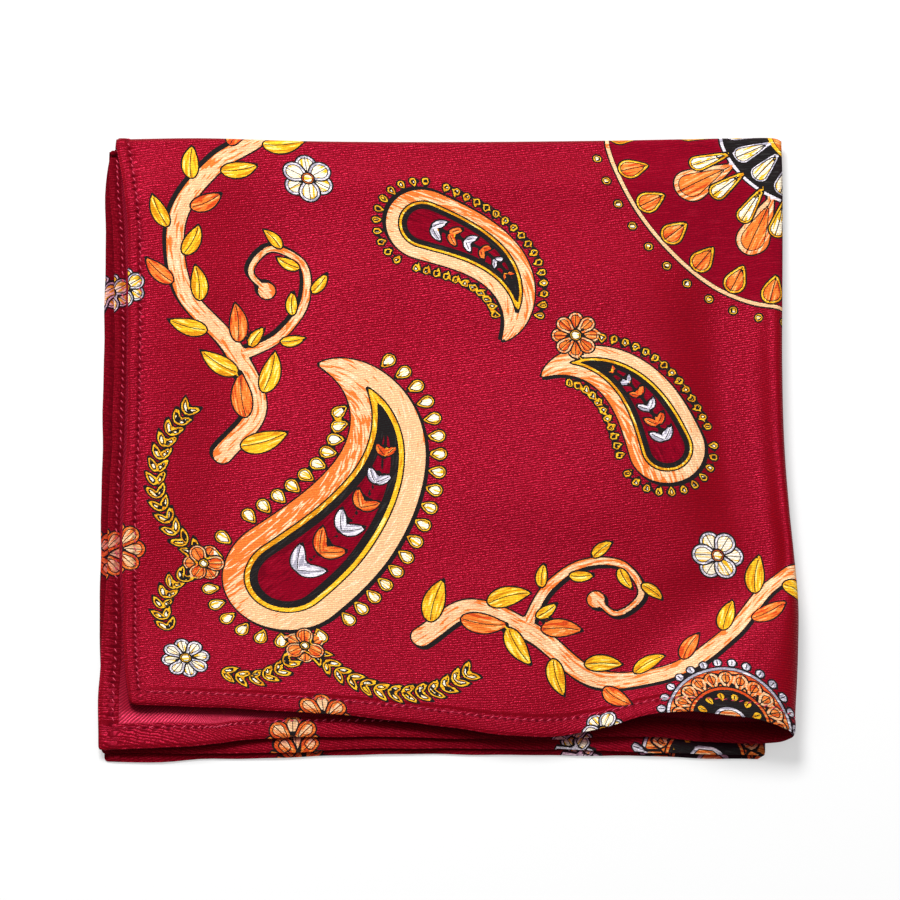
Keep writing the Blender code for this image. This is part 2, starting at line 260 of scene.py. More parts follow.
def turn(x, reach, top, bottom, steps=40):
    """Half an ellipse to the right, from a top to a bottom height."""
    angle = np.pi * np.arange(1, steps + 1) / steps
    return np.stack([x + reach * np.sin(angle),
                     (top + bottom) / 2 + (top - bottom) / 2 * np.cos(angle)], axis=1)


def upper_path(y):
    """Layers 1 and 2 across the cloth at y: layer 1's left edge, the roll, layer 2's edge."""
    at = {name: float(SECTIONS.at(y, name)) for name in SECTIONS.columns}
    flat = LAYER_Z[1]
    low = LAYER_Z[2]
    top = flat + at["crest"]
    knots = [(at["left"], flat), (at["shoulder_x"] - SHOULDER_WIDTH, flat),
             (at["shoulder_x"], flat + at["shoulder"]), (at["trough_x"], flat),
             (at["crest_from"], top), (at["crest_x"], top)]
    broad = ease((at["crest_from"] - at["trough_x"] - 18.0) / 16.0)
    curves = [ease, ease, late, lambda t: late(t, 2.9) * (1 - broad) + steady(t) * broad, ease]
    parts = [np.array([knots[0]])]
    parts += [slope(a, b, curve) for a, b, curve in zip(knots, knots[1:], curves)]
    parts.append(turn(at["crest_x"], at["right"] - 0.5 - at["crest_x"], top, low))
    parts.append(slope((at["crest_x"], low), (float(left_of(2, y)), low)))
    return np.concatenate(parts)


def lower_path(y):
    """Layers 4 and 3 across the cloth at y: layer 4's left edge, the roll, layer 3's edge."""
    low = LAYER_Z[4]
    high = LAYER_Z[3]
    centre = LOWER_ROLL_X - 1.4
    start = (float(left_of(4, y)), low)
    return np.concatenate([[start], slope(start, (centre, low)), turn(centre, 1.2, low, high),
                           slope((centre, high), (float(left_of(3, y)), high))])


def lengths(path):
    steps = np.linalg.norm(np.diff(path, axis=0), axis=1)
    return np.concatenate([[0.0], np.cumsum(steps)])


def at_lengths(path, run, where):
    return np.stack([np.interp(where, run, path[:, k]) for k in range(path.shape[1])], axis=1)


def spot(path, run, place):
    return at_lengths(path, run, [place])[0]


def join_length(path, run):
    """How far along an upper path the top piece ends, under the roll."""
    right = int(path[:, 0].argmax())
    return float(np.interp(-RETURN_X, -path[right:, 0], run[right:]))


def hem_places(stitch):
    """Distances from a cut edge at which a hem's mesh has its lines."""
    near = [e for e in HEM_OFFSETS if e < stitch - 1.2]
    spaced = np.arange(near[-1] + 0.6, stitch - 1.2, 0.6)
    return np.array(near + list(spaced) + [stitch + e for e in STITCH_OFFSETS])


def top_columns(run, join):
    """Where the top piece's columns cross a row, as lengths from its left edge."""
    near = hem_places(OUTER_STITCH)
    count = int(round(212.0 / GRID_STEP))
    roll_end = join - (join - near[-1]) * ROLL_SHARE
    fine = near[-1] + (roll_end - near[-1]) * np.arange(1, count + 1) / count
    rest = roll_end + (join - roll_end) * np.arange(1, 7) / 6
    return np.concatenate([near, fine, rest])


def second_columns(run, join):
    """Where the second piece's columns cross a row, from its join to its left edge."""
    near = run[-1] - hem_places(INNER_STITCH)[::-1]
    count = int(round(180.0 / SECOND_STEP))
    return np.concatenate([join + (near[0] - join) * np.arange(0, count) / count, near])


def row_places(step):
    """Rows in front of the fold, as y, with a hem's rows at the front."""
    near = MEAN_FRONT_Y + hem_places(FRONT_STITCH)[::-1]
    count = int(round((FOLD_Y - near[0]) / step))
    return np.concatenate([np.linspace(FOLD_Y, near[0], count + 1)[1:-1], near])


def lift(x, y):
    """Height that the creases and the soft slope to the back fold add to layer 1."""
    total = 0.6
    for x1, y1, x2, y2, height, width, fade in CREASES:
        along = np.array([x2 - x1, y2 - y1])
        long = np.linalg.norm(along)
        along = along / long
        a = (x - x1) * along[0] + (y - y1) * along[1]
        b = -(x - x1) * along[1] + (y - y1) * along[0]
        ends = ease((a + fade) / fade) * ease((long + fade - a) / fade)
        total = total + height * ends * np.exp(-(b / width) ** 2)
    edge = EDGE_LIFT * np.exp(-((x - EDGE_LIFT_X) / EDGE_LIFT_WIDTH) ** 2)
    edge = edge * ease((FOLD_Y - y) / 22.0) * ease((y + 64.0) / 45.0)
    total = total * ease((FOLD_Y - y) / 15.0)
    return total * ease((x + 104.0) / 12.0) * ease((104.0 - x) / 30.0) + edge


def wander(place, phase):
    """An uneven, slow wave from about -1 to 1 along an edge."""
    return (0.5 * np.sin(place / 5.3 + phase) + 0.3 * np.sin(place / 2.9 + 2.1 * phase)
            + 0.35 * np.sin(place / 13.0 + 0.7 * phase))


def droop(layer, x, y):
    """How far a lower layer's left edge and front edge hang towards the layer below."""
    side = 1 - ease((x - left_of(layer, y)) / DROOP_REACH)
    front = 1 - ease((y - front_of(layer, x)) / DROOP_REACH)
    return DROOP[layer] * np.maximum(side, 0.5 * front)


def mouth(x, y):
    """How far the front edge of layer 2 stands off layer 3 near the left corner."""
    along = ease((x + 105.5) / 6.0) * ease((-40.0 - x) / 40.0)
    return MOUTH * along * (1 - ease((y - front_of(2, x)) / MOUTH_REACH))


def valley(x, y):
    """How far layer 2 dips beside and under the left edge of layer 1."""
    return VALLEY * np.exp(-((x - SECTIONS.at(y, "left") + 0.4) / VALLEY_WIDTH) ** 2)


def widened(x, y, from_left, from_front):
    """Stretches layer 2's hems near its front left corner, where they are wider."""
    side = ease((60.0 - from_front) / 34.0) * from_left * (1 - ease((from_left - 4.0) / 40.0))
    front = ease((-75.0 - x) / 25.0) * from_front * (1 - ease((from_front - 7.0) / 20.0))
    return x + LEFT_WIDER * side, y + FRONT_WIDER * front


def rounded_corner(x, y, from_left, from_front, radius):
    """Draws a square front left corner of the cloth in to a round one."""
    u = np.clip(1 - from_left / radius, 0, 1)
    v = np.clip(1 - from_front / radius, 0, 1)
    x = x + radius * u * (1 - np.sqrt(1 - v * v / 2))
    y = y + radius * v * (1 - np.sqrt(1 - u * u / 2))
    return x, y


def upper_rows(columns_of, step):
    """A piece of the upper pair, as a grid of points on its middle and of flat places (s, t)."""
    lower = lower_path(FOLD_Y)
    lower_run = lengths(lower)
    points = []
    for y, angle in [(FOLD_Y, a) for a in FOLD_ANGLES] + [(y, 0.0) for y in row_places(step)]:
        path = upper_path(y)
        run = lengths(path)
        where = columns_of(run, join_length(path, run))
        x, z = at_lengths(path, run, where).T
        second = ease((where - run[int(path[:, 0].argmax())] + 3.0) / 9.0)
        to_end = run[-1] - where
        t = (y - MEAN_FRONT_Y) + FOLD_RADIUS * math.radians(angle)
        if angle > 0:
            share = ease((angle - 50.0) / 130.0)
            other = at_lengths(lower, lower_run, where / run[-1] * lower_run[-1])
            x = x * (1 - share) + other[:, 0] * share
            radius = z - FOLD_Z
            y_row = FOLD_Y + radius * np.sin(np.radians(angle)) - drawn_in(x, FOLD_Y)
            y_row = y_row - INNER_FOLD_IN * second
            z = FOLD_Z + radius * np.cos(np.radians(angle))
        else:
            front = front_of_top(x) * (1 - second) + front_of(2, x) * second
            y_row = y + front_share(y) * (front - MEAN_FRONT_Y)
            z = z + lift(x, y_row) * (1 - second)
            z = z + (mouth(x, y_row) - droop(2, x, y_row) - valley(x, y_row)) * second
            y_row = y_row - drawn_in(x, y) - inner_fold(y) * second
            x, y_row = rounded_corner(x, y_row, where, t, CORNER_ROUND)
            x, y_row = rounded_corner(x, y_row, to_end, t, SHARP_ROUND)
            wide_x, wide_y = widened(x, y_row, to_end, t)
            x = x + (wide_x - x) * second
            y_row = y_row + (wide_y - y_row) * second
            x, y_row, z = uneven(x, y_row, z, where, to_end, t)
        points.append(np.stack([x, y_row, z, where, t + 0 * x], axis=1))
    return np.array(points)


def front_share(y):
    """How far a row follows the front edge's curve."""
    return max(0.0, (EDGE_STARTS_Y - y) / (EDGE_STARTS_Y - MEAN_FRONT_Y))


def inner_fold(y):
    """How far the inner fold draws a row of layer 2 or 3 forwards."""
    return INNER_FOLD_IN * ease((y - FOLD_Y + 12.0) / 12.0)


def uneven(x, y, z, from_start, from_end, t):
    """Small waves of the edges, in place and in height."""
    start = 1 - ease(from_start / EDGE_REACH)
    end = 1 - ease(from_end / EDGE_REACH)
    front = 1 - ease(t / EDGE_REACH)
    x = x + EDGE_WANDER * (start * wander(t, 0.4) + end * wander(t, 2.9))
    y = y + EDGE_WANDER * front * wander(from_start, 1.7)
    z = z + 0.5 * EDGE_WANDER * (front * wander(from_start, 4.1) + start * wander(t, 5.2))
    return x, y, z


def lower_columns(total):
    near = hem_places(OUTER_STITCH)
    far = hem_places(INNER_STITCH)
    count = int(round(400.0 / LOWER_STEP))
    rest = near[-1] + (total - near[-1] - far[-1]) * np.arange(1, count) / count
    return np.concatenate([near, rest, total - far[::-1]])


def lower_rows():
    """The lower pair, as upper_rows gives the upper one."""
    points = []
    for y in [FOLD_Y, *row_places(LOWER_STEP)]:
        path = lower_path(y)
        run = lengths(path)
        where = lower_columns(run[-1])
        x, z = at_lengths(path, run, where).T
        third = ease((where - run[int(path[:, 0].argmax())] + 1.0) / 2.0)
        front = front_of(4, x) * (1 - third) + front_of(3, x) * third
        t = y - MEAN_FRONT_Y
        y_row = y + front_share(y) * (front - MEAN_FRONT_Y)
        z = z - droop(3, x, y_row) * third - droop(4, x, y_row) * (1 - third)
        y_row = y_row - drawn_in(x, y) - inner_fold(y) * third
        x, y_row = rounded_corner(x, y_row, where, t, SHARP_ROUND)
        x, y_row = rounded_corner(x, y_row, run[-1] - where, t, SHARP_ROUND)
        x, y_row, z = uneven(x, y_row, z, where, run[-1] - where, t)
        points.append(np.stack([x, y_row, z, where, t + 0 * x], axis=1))
    return np.array(points)


def normals_of(grid):
    """Unit normals of a grid of points, on the cloth's right side."""
    along = np.gradient(grid, axis=0)
    across = np.gradient(grid, axis=1)
    normal = np.cross(across, -along)
    return normal / np.linalg.norm(normal, axis=2, keepdims=True)


def hem_skins(e, stitch):
    """How far the right side and the wrong side stand off the middle, at e from the edge."""
    edge = np.sqrt(np.clip(1 - (1 - np.clip(e / EDGE_ROUND, 0, 1)) ** 2, 0, 1))
    width = stitch + PAST_STITCH
    pinch = np.exp(-((e - stitch) / 0.45) ** 2)
    puff = np.sin(np.pi * np.clip(e / stitch, 0, 1)) * (e < stitch)
    inside = 1 - ease((e - stitch + 0.5) / 1.3)
    band = 1 - ease((e - width + 0.08) / 0.16)
    right = edge * (PLY + (0.24 + 0.12 * puff) * inside) - 0.14 * pinch
    wrong = edge * (PLY + (0.30 + 0.12 * puff) * band) - 0.10 * pinch
    return np.maximum(right, 0.02), np.maximum(wrong, 0.02)


def thickness(from_left, from_front, stitch):
    """Right and wrong side offsets where a left hem and a front hem meet."""
    left = hem_skins(from_left, stitch)
    front = hem_skins(from_front, FRONT_STITCH)
    at_edge = np.minimum(from_left, from_front) < EDGE_ROUND
    made = []
    for of_left, of_front in zip(left, front):
        least = np.minimum(of_left, of_front)
        stacked = np.maximum(of_left, of_front) + 0.4 * np.maximum(least - PLY, 0)
        made.append(np.where(at_edge, least, stacked))
    return made


def shade_under_edges(x, y, left, front):
    """How much painted shade a place gets from the edges of the layer above, from 0 to 1."""
    beside = np.maximum(left - x, 0) / (TUCK_SIDE * (0.55 + 0.45 * ease((y - front) / 20.0)))
    before = np.maximum(front - y, 0) / TUCK_FRONT
    return TUCK_LEAST + (1 - TUCK_LEAST) * np.exp(-beside ** 2 - before ** 2)


def placed(name, verts, faces, materials):
    """A smooth mesh from points in the tables' coordinates, riding on the part."""
    low = cad_bounds[0]
    shift = (low[0] / MM - LEFTMOST_X, low[1] / MM - FRONTMOST_Y, 0.0)
    mesh = bpy.data.meshes.new(name)
    mesh.from_pydata(((np.array(verts) + shift) * MM).tolist(), [], faces)
    mesh.shade_smooth()
    for material in materials:
        mesh.materials.append(material)
    made = added(name, mesh)
    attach(made, "root")
    return made


def added(name, data):
    made = bpy.data.objects.new(name, data)
    bpy.context.scene.collection.objects.link(made)
    return made


class Cloth:
    """A piece of cloth: a closed shell round a grid, the right side first, then the wrong one."""

    def __init__(self, name, grid, from_left, along, stitch, shades):
        """along is where the motifs of one side are read, and shades how much painted shade
        each side gets from the edges above."""
        points = grid[..., :3]
        self.flat = grid[..., 3:]
        self.from_left = from_left
        self.stitch = stitch
        self.normals = normals_of(points)
        from_front = self.flat[..., 1]
        right, wrong = thickness(from_left, from_front, stitch)
        self.right = points + self.normals * right[..., None]
        self.wrong = points - self.normals * wrong[..., None]
        verts = np.concatenate([self.right.reshape(-1, 3), self.wrong.reshape(-1, 3)])
        verts[:, 2] = np.maximum(verts[:, 2], 0.02)
        rows, columns = from_left.shape
        count = rows * columns
        index = np.arange(count).reshape(rows, columns)
        corners = [index[:-1, :-1], index[1:, :-1], index[1:, 1:], index[:-1, 1:]]
        top = np.stack([corner.ravel() for corner in corners], axis=1)
        bottom = top[:, [0, 3, 2, 1]] + count
        rim = np.concatenate([index[0, :], index[1:, -1], index[-1, -2::-1], index[-2:0:-1, 0]])
        after = np.roll(rim, -1)
        side = np.stack([rim, after, after + count, rim + count], axis=1)
        faces = np.concatenate([top, bottom, side])
        self.piece = placed(name, verts, faces.tolist(),
                            cloth_materials)
        mesh = self.piece.data
        store(mesh, "weave", [np.pad(self.flat, ((0, 0), (0, 0), (0, 1)))] * 2, "POINT")
        # The third part is each side's painted shade from the edges above.
        store(mesh, "off_seams_and_shade", [np.stack([from_left - stitch, from_front - FRONT_STITCH, shade],
                                           axis=2) for shade in shades], "POINT")
        banded = (from_left < stitch + PAST_STITCH) | (from_front < FRONT_STITCH + PAST_STITCH)
        on_band = (banded[:-1, :-1] & banded[1:, 1:]).ravel()
        kinds = np.zeros(len(faces), np.int32)
        kinds[len(top):2 * len(top)] = np.where(on_band, 0, 1)
        mesh.polygons.foreach_set("material_index", kinds)
        t = np.minimum(from_front, 2 * HALF_LENGTH - from_front)
        s = np.minimum(from_left, 2 * HALF_WIDTH - from_left)
        mirrored = np.tile(np.stack([s, t], axis=2).reshape(-1, 2), (2, 1))
        unmirrored = np.tile(np.stack([along, t], axis=2).reshape(-1, 2), (2, 1))
        printed(mesh, mirrored, unmirrored, faces, quarter_design())

    def seam_rows(self, side, end_x=200.0):
        """The lines of stitches on the right (1) or the wrong (-1) side, as points, normals
        and places along the seam, the front one up to end_x."""
        skin = self.right if side > 0 else self.wrong
        normals = self.normals * side
        column = nearest_index(self.from_left[len(self.from_left) // 2], self.stitch)
        row = nearest_index(self.flat[:, 0, 1], FRONT_STITCH)
        past = (self.from_left[row] > self.stitch - 0.1) & (skin[row, :, 0] < end_x)
        return [(skin[:row, column], normals[:row, column], self.flat[:row, column, 1]),
                (skin[row, past], normals[row, past], self.flat[row, past, 0])]


# The printed design, on one quarter of the cloth: s from its side edge, t from its front or
# back edge. The other three quarters mirror it. A motif is a chain of circles along a spine.
HALF_WIDTH = 213.0
HALF_LENGTH = 199.0
CREAM, GOLD, SILVER, ORANGE, GROUND, PALE, BLACK = range(7)
FILLS = ((0.82, 0.50, 0.26), (0.86, 0.50, 0.020), (0.72, 0.69, 0.75), (0.80, 0.21, 0.030),
         (0.21, 0.001, 0.009), (0.88, 0.80, 0.62), (0.002, 0.013, 0.010))
STROKES = ((0.80, 0.19, 0.03), (0.66, 0.27, 0.006), (0.36, 0.35, 0.42), (0.62, 0.07, 0.010),
           (0.14, 0.001, 0.006), (0.86, 0.50, 0.020), (0.002, 0.013, 0.010))
GLINTS = ((0.88, 0.64, 0.40), (0.90, 0.76, 0.22), (0.88, 0.87, 0.90), (0.84, 0.42, 0.14),
          (0.25, 0.003, 0.014), (0.92, 0.88, 0.76), (0.014, 0.024, 0.021))
NEAR = 3.0                 # how far round a motif the mesh carries its place
SHADOW = 0.75              # how far a motif's black shadow is shifted, both ways
LAYERS = ("shade", "first", "second", "third", "fourth")


def toward(angle):
    return np.array([math.cos(math.radians(angle)), math.sin(math.radians(angle))])


def angle_of(vector):
    return math.degrees(math.atan2(vector[1], vector[0]))


def curve_through(points, spacing=0.8):
    """Places spaced evenly along a smooth curve through a few points."""
    p = np.array(points, float)
    run = lengths(p)
    line = curve(np.linspace(0, run[-1], max(8, int(run[-1] / 0.4))), run, p)
    total = lengths(line)
    count = max(4, int(total[-1] / spacing))
    return at_lengths(line, total, np.linspace(0, total[-1], count + 1))


def steps_along(points, spacing, first, last, every):
    """Even steps along a smooth curve: each one's number, length, place and way ahead."""
    line = curve_through(points, spacing)
    run = lengths(line)
    for number, place in enumerate(np.arange(first, run[-1] - last, every)):
        here = spot(line, run, place)
        yield number, place, here, spot(line, run, place + spacing) - here


class Motif:
    """A chain of circles: its layer, its colour, its rib and what lies inside its inset."""

    def __init__(self, layer, centres, radii, colour, rib=0.0, inset=0.0, inner=None):
        self.layer = layer
        self.centres = np.atleast_2d(np.array(centres, float))
        self.radii = np.broadcast_to(np.array(radii, float), (len(self.centres),)).copy()
        self.style = (colour + 8 * (colour if inner is None else inner), rib, inset)
        self.one_sided = False

    def mirrored(self):
        """The same motif across the quarter's diagonal."""
        made = copy.copy(self)
        made.centres = self.centres[:, ::-1]
        return made

    def shaded(self):
        """Its black shadow, to one side and under everything."""
        return Motif(0, self.centres + (SHADOW, -SHADOW), self.radii, BLACK)

    def within(self, layer, inset, colour, rib=0.0, band=0.0, inner=None):
        """The same form, drawn in by an inset."""
        kept = self.radii > inset + 0.25
        return Motif(layer, self.centres[kept], self.radii[kept] - inset, colour, rib, band, inner)


def leaf(layer, base, angle, length, width, colour, bend=0.0, rib=0.14, inset=0.0, inner=None):
    """A pointed leaf from its base, bent sideways."""
    tau = np.linspace(0.0, 1.0, max(10, int(length / 0.55)))
    ahead = toward(angle)
    side = toward(angle + 90.0)
    spine = base + length * (tau[:, None] * ahead + bend * tau[:, None] ** 2 * side)
    radii = 0.5 * width * np.sin(np.pi * tau ** 0.72) + 0.05
    return Motif(layer, spine, radii, colour, rib, inset, inner)


def petal(layer, base, angle, length, width, colour, rib=0.14, inset=0.0, inner=None):
    """A petal from its base, with a round end."""
    tau = np.linspace(0.0, 1.0, max(8, int(length / 0.7)))
    out = (length - width / 2) * tau
    radii = 0.5 * width * tau ** 0.8 + 0.1
    spine = np.array(base) + toward(angle) * out[:, None]
    return Motif(layer, spine, radii, colour, rib, inset, inner)


def stem(points, start, end, colour, ball=0.0):
    """A tapering stem through a few points, with a ball at its end and a shadow."""
    spine = curve_through(points)
    radii = 0.5 * (start + (end - start) * np.linspace(0, 1, len(spine)))
    if ball:
        radii[-1] = ball
    made = Motif(1, spine, radii, colour)
    return [made, made.shaded()]


def flower(centre, radius, petals, colour, heart, angle=0.0, layer=2, inner=None):
    """Round petals about a heart, every other one on top."""
    made = []
    width = radius * 4.9 / petals
    for k in range(petals):
        made.append(petal(layer + k % 2, centre, angle + 360.0 * k / petals, radius, width,
                          colour, 0.13, radius * 0.12, inner))
    made.append(Motif(layer + 2, [centre], radius * 0.25, heart, 0.0, 0.55, PALE))
    return made


def leafy(points, away, every, length, colours, side=1, start=6.0):
    """Leaves to either side of a stem through the same points."""
    made = []
    for number, place, here, ahead in steps_along(points, 0.5, start, 3.0, every):
        heading = angle_of(ahead)
        size = length * (0.80 + 0.35 * math.sin(place * 0.7) ** 2)
        made.append(leaf(2, here + toward(heading + 90.0) * side * away, heading + side * 44.0,
                         size, size * 0.46, colours[number % len(colours)], -0.24 * side))
        side = -side
    return made


def laurel(points, length, every):
    """A chain of pairs of small gold leaves along a curve."""
    return [leaf(2 + number % 2, here, angle_of(ahead) + turned, length, 2.7, GOLD, 0.0, 0.0,
                 0.75, PALE)
            for number, _, here, ahead in steps_along(points, 0.4, 1.0, 1.0, every)
            for turned in (-33.0, 33.0)]


def fringe_of(body, gap, length, width, colour, every=5.4):
    """Small petals standing off round a body's outline."""
    made = []
    ahead = np.gradient(body.centres, axis=0)
    ahead = ahead / np.linalg.norm(ahead, axis=1, keepdims=True)
    heading = angle_of(-ahead[0])
    reach = body.radii[0] + gap
    for k in np.linspace(-75, 75, 2 + int(2.6 * reach / every)):
        made.append(petal(2, body.centres[0] + toward(heading + k) * reach, heading + k,
                          length, width, colour, 0.0, 0.7, PALE))
    for side in (1, -1):
        normal = np.stack([-ahead[:, 1], ahead[:, 0]], axis=1) * side
        edge = body.centres + normal * (body.radii + gap)[:, None]
        run = lengths(edge)
        for place in np.arange(every * 0.8, run[-1] * 0.84, every):
            made.append(petal(2, spot(edge, run, place), angle_of(spot(normal, run, place)),
                              length, width, colour, 0.0, 0.7, PALE))
    return made


def boteh(base, angle, length, width, hook):
    """A hooked teardrop: a cream band, a gold one, a dark field with a spray, and a fringe."""
    tau = np.linspace(0.0, 1.0, 90)
    heading = np.radians(angle) + hook * 2.5 * tau ** 2.0
    steps = np.stack([np.cos(heading), np.sin(heading)], axis=1) * length / len(tau)
    spine = np.array(base) + np.cumsum(steps, axis=0)
    radii = 0.5 * width * (1 - tau) ** 0.8 * (1 + 0.4 * tau) + 0.15
    body = Motif(1, spine, radii, CREAM)
    rim = width * 0.17
    made = [body, body.shaded(), body.within(2, rim, GOLD, 0.0, width * 0.045, BLACK),
            body.within(3, rim + width * 0.10, GROUND)]
    made += fringe_of(body, 0.7, width * 0.15, width * 0.105, GOLD, width * 0.14)
    for number, k in enumerate(range(4, 52, 9)):
        size = width * (0.24 - 0.022 * number)
        for side in (-1, 1):
            made.append(leaf(4, spine[k], math.degrees(heading[k]) + side * 52.0, size,
                             size * 0.5, (SILVER, ORANGE)[number % 2], -0.2 * side))
    made.append(Motif(4, spine[4:58], 0.32, GOLD))
    return made


def ring_of(layer, centre, count, start, length, width, colour, inset=0.0, inner=None, offset=0.0,
            step=1):
    """Petals round a centre, every other one a step of layers up."""
    angles = [360.0 * (k + offset) / count for k in range(count)]
    return [petal(layer + step * (k % 2), centre + toward(angle) * start, angle, length, width,
                  colour, 0.16, inset, inner) for k, angle in enumerate(angles)]


def medallion(centre, radius):
    """A round motif: a fringe, a ring of petals and a dark field with drops about a heart."""
    centre = np.array(centre, float)
    band = radius * 0.06
    edge = Motif(1, [centre], radius, SILVER, 0.0, band, ORANGE)
    made = [edge, edge.shaded()]
    made += ring_of(2, centre, 30, radius * 1.02, radius * 0.13, radius * 0.14, SILVER, step=0)
    made += ring_of(2, centre, 22, radius * 0.60, radius * 0.31, radius * 0.23, CREAM,
                    radius * 0.055, ORANGE, 0.5, 0)
    made.append(Motif(3, [centre], radius * 0.64, ORANGE, 0.0, band, BLACK))
    made += ring_of(4, centre, 14, radius * 0.37, radius * 0.17, radius * 0.12, GOLD, step=0)
    made.append(Motif(4, [centre], radius * 0.29, SILVER, 0.0, band, CREAM))
    return made


def clear_of(motifs, centre, radius):
    """The motifs without the leaves and petals that reach into a circle."""
    centre = np.array(centre, float)
    return [motif for motif in motifs if motif.layer < 2
            or (np.linalg.norm(motif.centres - centre, axis=1) - motif.radii).min() > radius]


def rosette(centre):
    """The middle of the cloth: rings of petals and beads, of which a quarter shows."""
    made = [Motif(1, [centre], 61.0, CREAM, 0.0, 1.5, GROUND)]
    made += ring_of(2, centre, 28, 49.5, 10.0, 7.0, GOLD, 0.9, ORANGE)
    made += ring_of(1, centre, 20, 24.0, 22.0, 10.5, CREAM, 1.6, ORANGE, 0.5)
    made += ring_of(3, centre, 20, 22.0, 15.5, 5.4, GOLD, 0.8, PALE)
    made.append(Motif(2, [centre], 25.5, SILVER, 0.0, 1.3, BLACK))
    made += ring_of(3, centre, 16, 9.0, 14.0, 5.6, SILVER, 0.7, PALE)
    made.append(Motif(4, [centre], 10.5, GOLD, 0.0, 1.6, ORANGE))
    return made + [Motif(3, [centre + toward(7.5 * k) * 64.5], 1.5, GOLD, 0.0, 0.6, PALE)
                   for k in range(48)]


MEDALLION = (186.0, -3.0)
MEDALLION_RADIUS = 20.0


def quarter_design():
    """Every motif of one quarter."""
    vine = ((92, 30), (106, 40), (126, 33), (146, 17), (168, 15.5),
            (188, 30), (200, 47), (214, 54))
    half = stem(vine, 6.6, 5.2, CREAM)
    half += leafy(vine, 2.6, 8.8, 14, (GOLD, ORANGE, GOLD))
    curl = ((124, 34), (131, 47), (143, 55), (155, 54), (160, 44),
            (152, 38), (146, 43))
    half += stem(curl, 3.6, 2, CREAM, 2.9)
    half += leafy(curl[:5], 1.6, 9, 9.5, (GOLD,), -1, 5)
    half += flower((184, 58), 8, 6, SILVER, ORANGE, 0, 2, PALE)
    half += boteh((168, 92), 112, 56, 24, 0.8)
    swag = [(29, 14.5), (38, 12), (48, 15.5), (56, 24),
            (66, 16), (80, 10), (95, 12), (108, 20)]
    half += laurel(swag, 6.2, 4.3)
    half += flower((56, 25), 6.4, 6, CREAM, GOLD, 30, 2, ORANGE)
    half += flower((60, -2), 9, 8, ORANGE, BLACK, 0, 2, CREAM)
    half += flower((146, -1), 6.5, 6, SILVER, GOLD, 0, 2, PALE)
    whole = clear_of(half, MEDALLION, MEDALLION_RADIUS * 1.15)
    whole += [motif.mirrored() for motif in half]
    for motif in medallion(MEDALLION, MEDALLION_RADIUS):
        motif.one_sided = True      # it stays off layer 2, so that the roll's hollow is plain
        whole.append(motif)
    whole += boteh((50, 50), 40, 94, 40, 0.95)
    whole += flower((19, 19), 7.5, 8, SILVER, GOLD, 10, 2, PALE)
    whole += flower((139, 130), 7.5, 8, CREAM, GOLD, 0, 2, ORANGE)
    whole += rosette(np.array((HALF_WIDTH, HALF_LENGTH)))
    return whole


def printed(mesh, mirrored, unmirrored, faces, design):
    """Stores on a mesh, for each layer of the print, where each corner lies on its motif."""
    for level, layer in enumerate(LAYERS):
        nearest = np.full(len(mirrored), 99.0)
        best = np.full(len(faces), 99.0)
        place = np.zeros((len(faces), 4, 2))
        style = np.zeros((len(faces), 3))
        for number, motif in enumerate(m for m in design if m.layer == level):
            points = unmirrored if motif.one_sided else mirrored
            reach = motif.radii.max() + NEAR
            low = motif.centres.min(0) - reach
            high = motif.centres.max(0) + reach
            idx = np.nonzero(((points > low) & (points < high)).all(axis=1))[0]
            if not len(idx):
                continue
            offset = points[idx, None, :] - motif.centres[None]
            gaps = np.linalg.norm(offset, axis=2) - motif.radii
            pick = gaps.argmin(axis=1)
            d = np.full(len(points), 99.0)
            d[idx] = gaps[np.arange(len(idx)), pick]
            nearest = np.minimum(nearest, d)
            if level == 0:
                continue
            ahead = np.gradient(motif.centres, axis=0) if len(motif.centres) > 1 else [[1, 0]]
            ahead = (np.array(ahead) / np.linalg.norm(ahead, axis=1, keepdims=True))[pick]
            chosen = offset[np.arange(len(idx)), pick]
            local = np.zeros((len(points), 2))
            run = lengths(motif.centres)
            local[idx, 0] = run[pick] + (chosen * ahead).sum(1) + 37.0 * number
            local[idx, 1] = chosen[:, 1] * ahead[:, 0] - chosen[:, 0] * ahead[:, 1]
            rows = np.nonzero((d < 99.0)[faces].any(axis=1))[0]
            mean = d[faces[rows]].mean(axis=1)
            closer = mean < best[rows]
            better = rows[closer]
            best[better] = mean[closer]
            place[better] = local[faces[better]]
            style[better] = motif.style
        store(mesh, f"{layer}_place", np.concatenate([place, nearest[faces][..., None]], axis=2))
        if level:
            store(mesh, f"{layer}_style", np.repeat(style, 4, axis=0))


def store(mesh, name, values, domain="CORNER"):
    held = mesh.attributes.new(name, "FLOAT_VECTOR", domain)
    held.data.foreach_set("vector", np.asarray(values, np.float32).ravel())


# Materials

def worked_out_by(operation, swapped=False):
    """A method that joins a value and another one, or a number, in a math node."""
    def method(self, other):
        pair = (other, self) if swapped else (self, other)
        return self.nodes.math(operation, *pair)
    return method


class Value:
    """A number that nodes work out, for use in plain sums."""

    def __init__(self, nodes, socket):
        self.nodes = nodes
        self.socket = socket

    __add__ = __radd__ = worked_out_by("ADD")
    __mul__ = __rmul__ = worked_out_by("MULTIPLY")
    __sub__ = worked_out_by("SUBTRACT")
    __rsub__ = worked_out_by("SUBTRACT", swapped=True)
    __truediv__ = worked_out_by("DIVIDE")
    __pow__ = worked_out_by("POWER")
    __gt__ = worked_out_by("GREATER_THAN")
    __lt__ = worked_out_by("LESS_THAN")

    def __abs__(self):
        return self.nodes.math("ABSOLUTE", self)

    def clamped(self):
        """The same value, kept from 0 to 1."""
        self.socket.node.use_clamp = True
        return self


